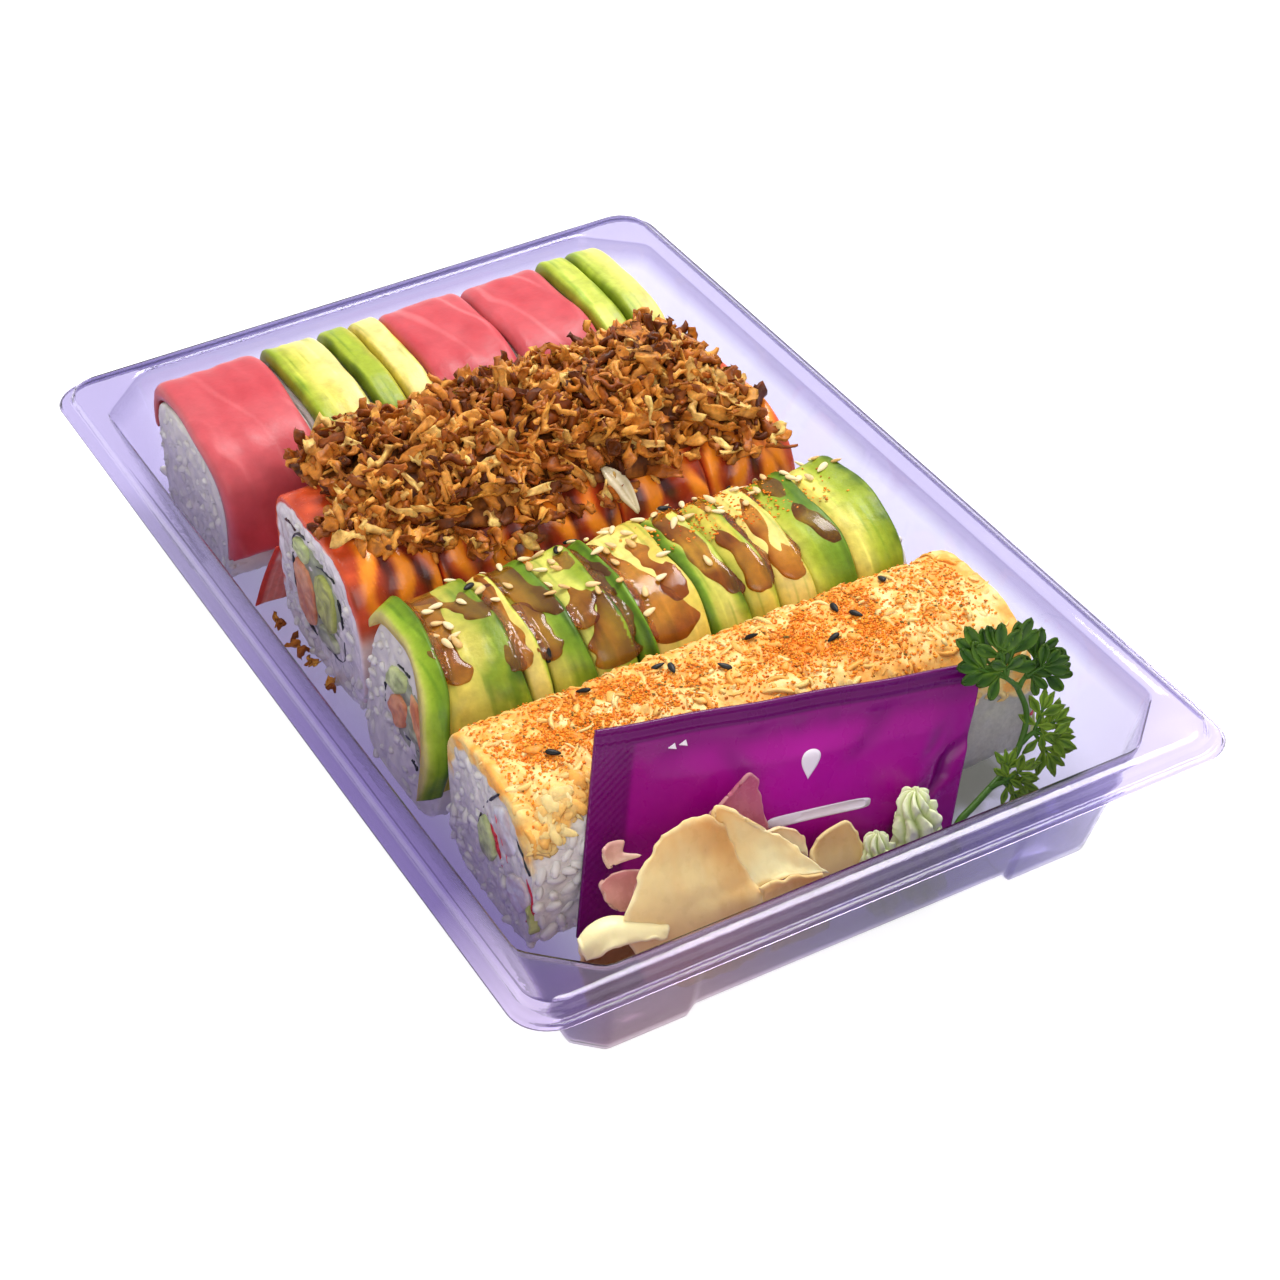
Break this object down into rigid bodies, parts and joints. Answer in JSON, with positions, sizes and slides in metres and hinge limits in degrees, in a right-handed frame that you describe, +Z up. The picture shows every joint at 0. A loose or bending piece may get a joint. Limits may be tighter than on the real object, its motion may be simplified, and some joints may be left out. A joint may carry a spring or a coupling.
{
  "type": "takeaway sushi tray",
  "caption": "Open rectangular tray of clear thin plastic filled with rows of cut sushi rolls and toppings, a sauce sachet, pickled ginger, piped wasabi and a parsley sprig.",
  "frame": {"origin": "middle of the tray's outline, on the surface the tray stands on", "axes": "+Z up, +Y along the tray's long side from the sachet end to the tuna end, +X along the rows, to the right seen from the sachet end"},
  "size_m": [0.17, 0.2682, 0.0613],
  "materials": {
    "tray": "clear, gloss, faint lavender tint",
    "rice": "moist cooked rice",
    "tuna": "moist raw fish",
    "avocado": "moist soft flesh with a green edge",
    "surimi_roll": "orange-red sheet under mayonnaise stripes and a thin dark sauce",
    "rice_roll": "moist cooked rice round seaweed and filling",
    "crab_roll": "shredded crab salad with orange-red spice",
    "fried_onion": "crisp fried flakes",
    "onion": "translucent onion",
    "crab_skin": "moist, smooth",
    "sachet": "printed foil film, satin",
    "ginger": "moist, translucent",
    "wasabi": "piped paste",
    "parsley": "fresh leaf"
  },
  "bodies": {
    "root": {"tray": "tray", "rice_block_1": "rice", "rice_block_2": "rice", "rice_block_3": "rice", "rice_block_4": "rice", "rice_block_5": "rice", "tuna_slice_1": "tuna", "tuna_slice_2": "tuna", "tuna_slice_3": "tuna", "avocado_back_1": "avocado", "avocado_back_2": "avocado", "avocado_back_3": "avocado", "avocado_back_4": "avocado", "avocado_back_5": "avocado", "avocado_slice_1": "avocado", "avocado_slice_2": "avocado", "avocado_slice_3": "avocado", "avocado_slice_4": "avocado", "avocado_slice_5": "avocado", "avocado_slice_6": "avocado", "avocado_slice_7": "avocado", "avocado_slice_8": "avocado", "avocado_slice_9": "avocado", "avocado_slice_10": "avocado", "avocado_slice_11": "avocado", "avocado_slice_12": "avocado", "onion_roll_1": "surimi_roll", "onion_roll_2": "surimi_roll", "onion_roll_3": "surimi_roll", "onion_roll_4": "surimi_roll", "onion_roll_5": "surimi_roll", "avocado_roll_1": "rice_roll", "avocado_roll_2": "rice_roll", "avocado_roll_3": "rice_roll", "avocado_roll_4": "rice_roll", "avocado_roll_5": "rice_roll", "crab_roll_1": "crab_roll", "crab_roll_2": "crab_roll", "crab_roll_3": "crab_roll", "crab_roll_4": "crab_roll", "crab_roll_5": "crab_roll", "crispy_onions": "fried_onion", "onion_sliver": "onion", "crab_skin_strip": "crab_skin", "sauce_sachet": "sachet", "ginger_slice_main": "ginger", "ginger_slice_fold": "ginger", "ginger_slice_curl": "ginger", "ginger_slice_right": "ginger", "ginger_slice_left": "ginger", "ginger_slice_back": "ginger", "wasabi_rosette_1": "wasabi", "wasabi_rosette_2": "wasabi", "parsley_sprig": "parsley"}
  },
  "joints": []
}
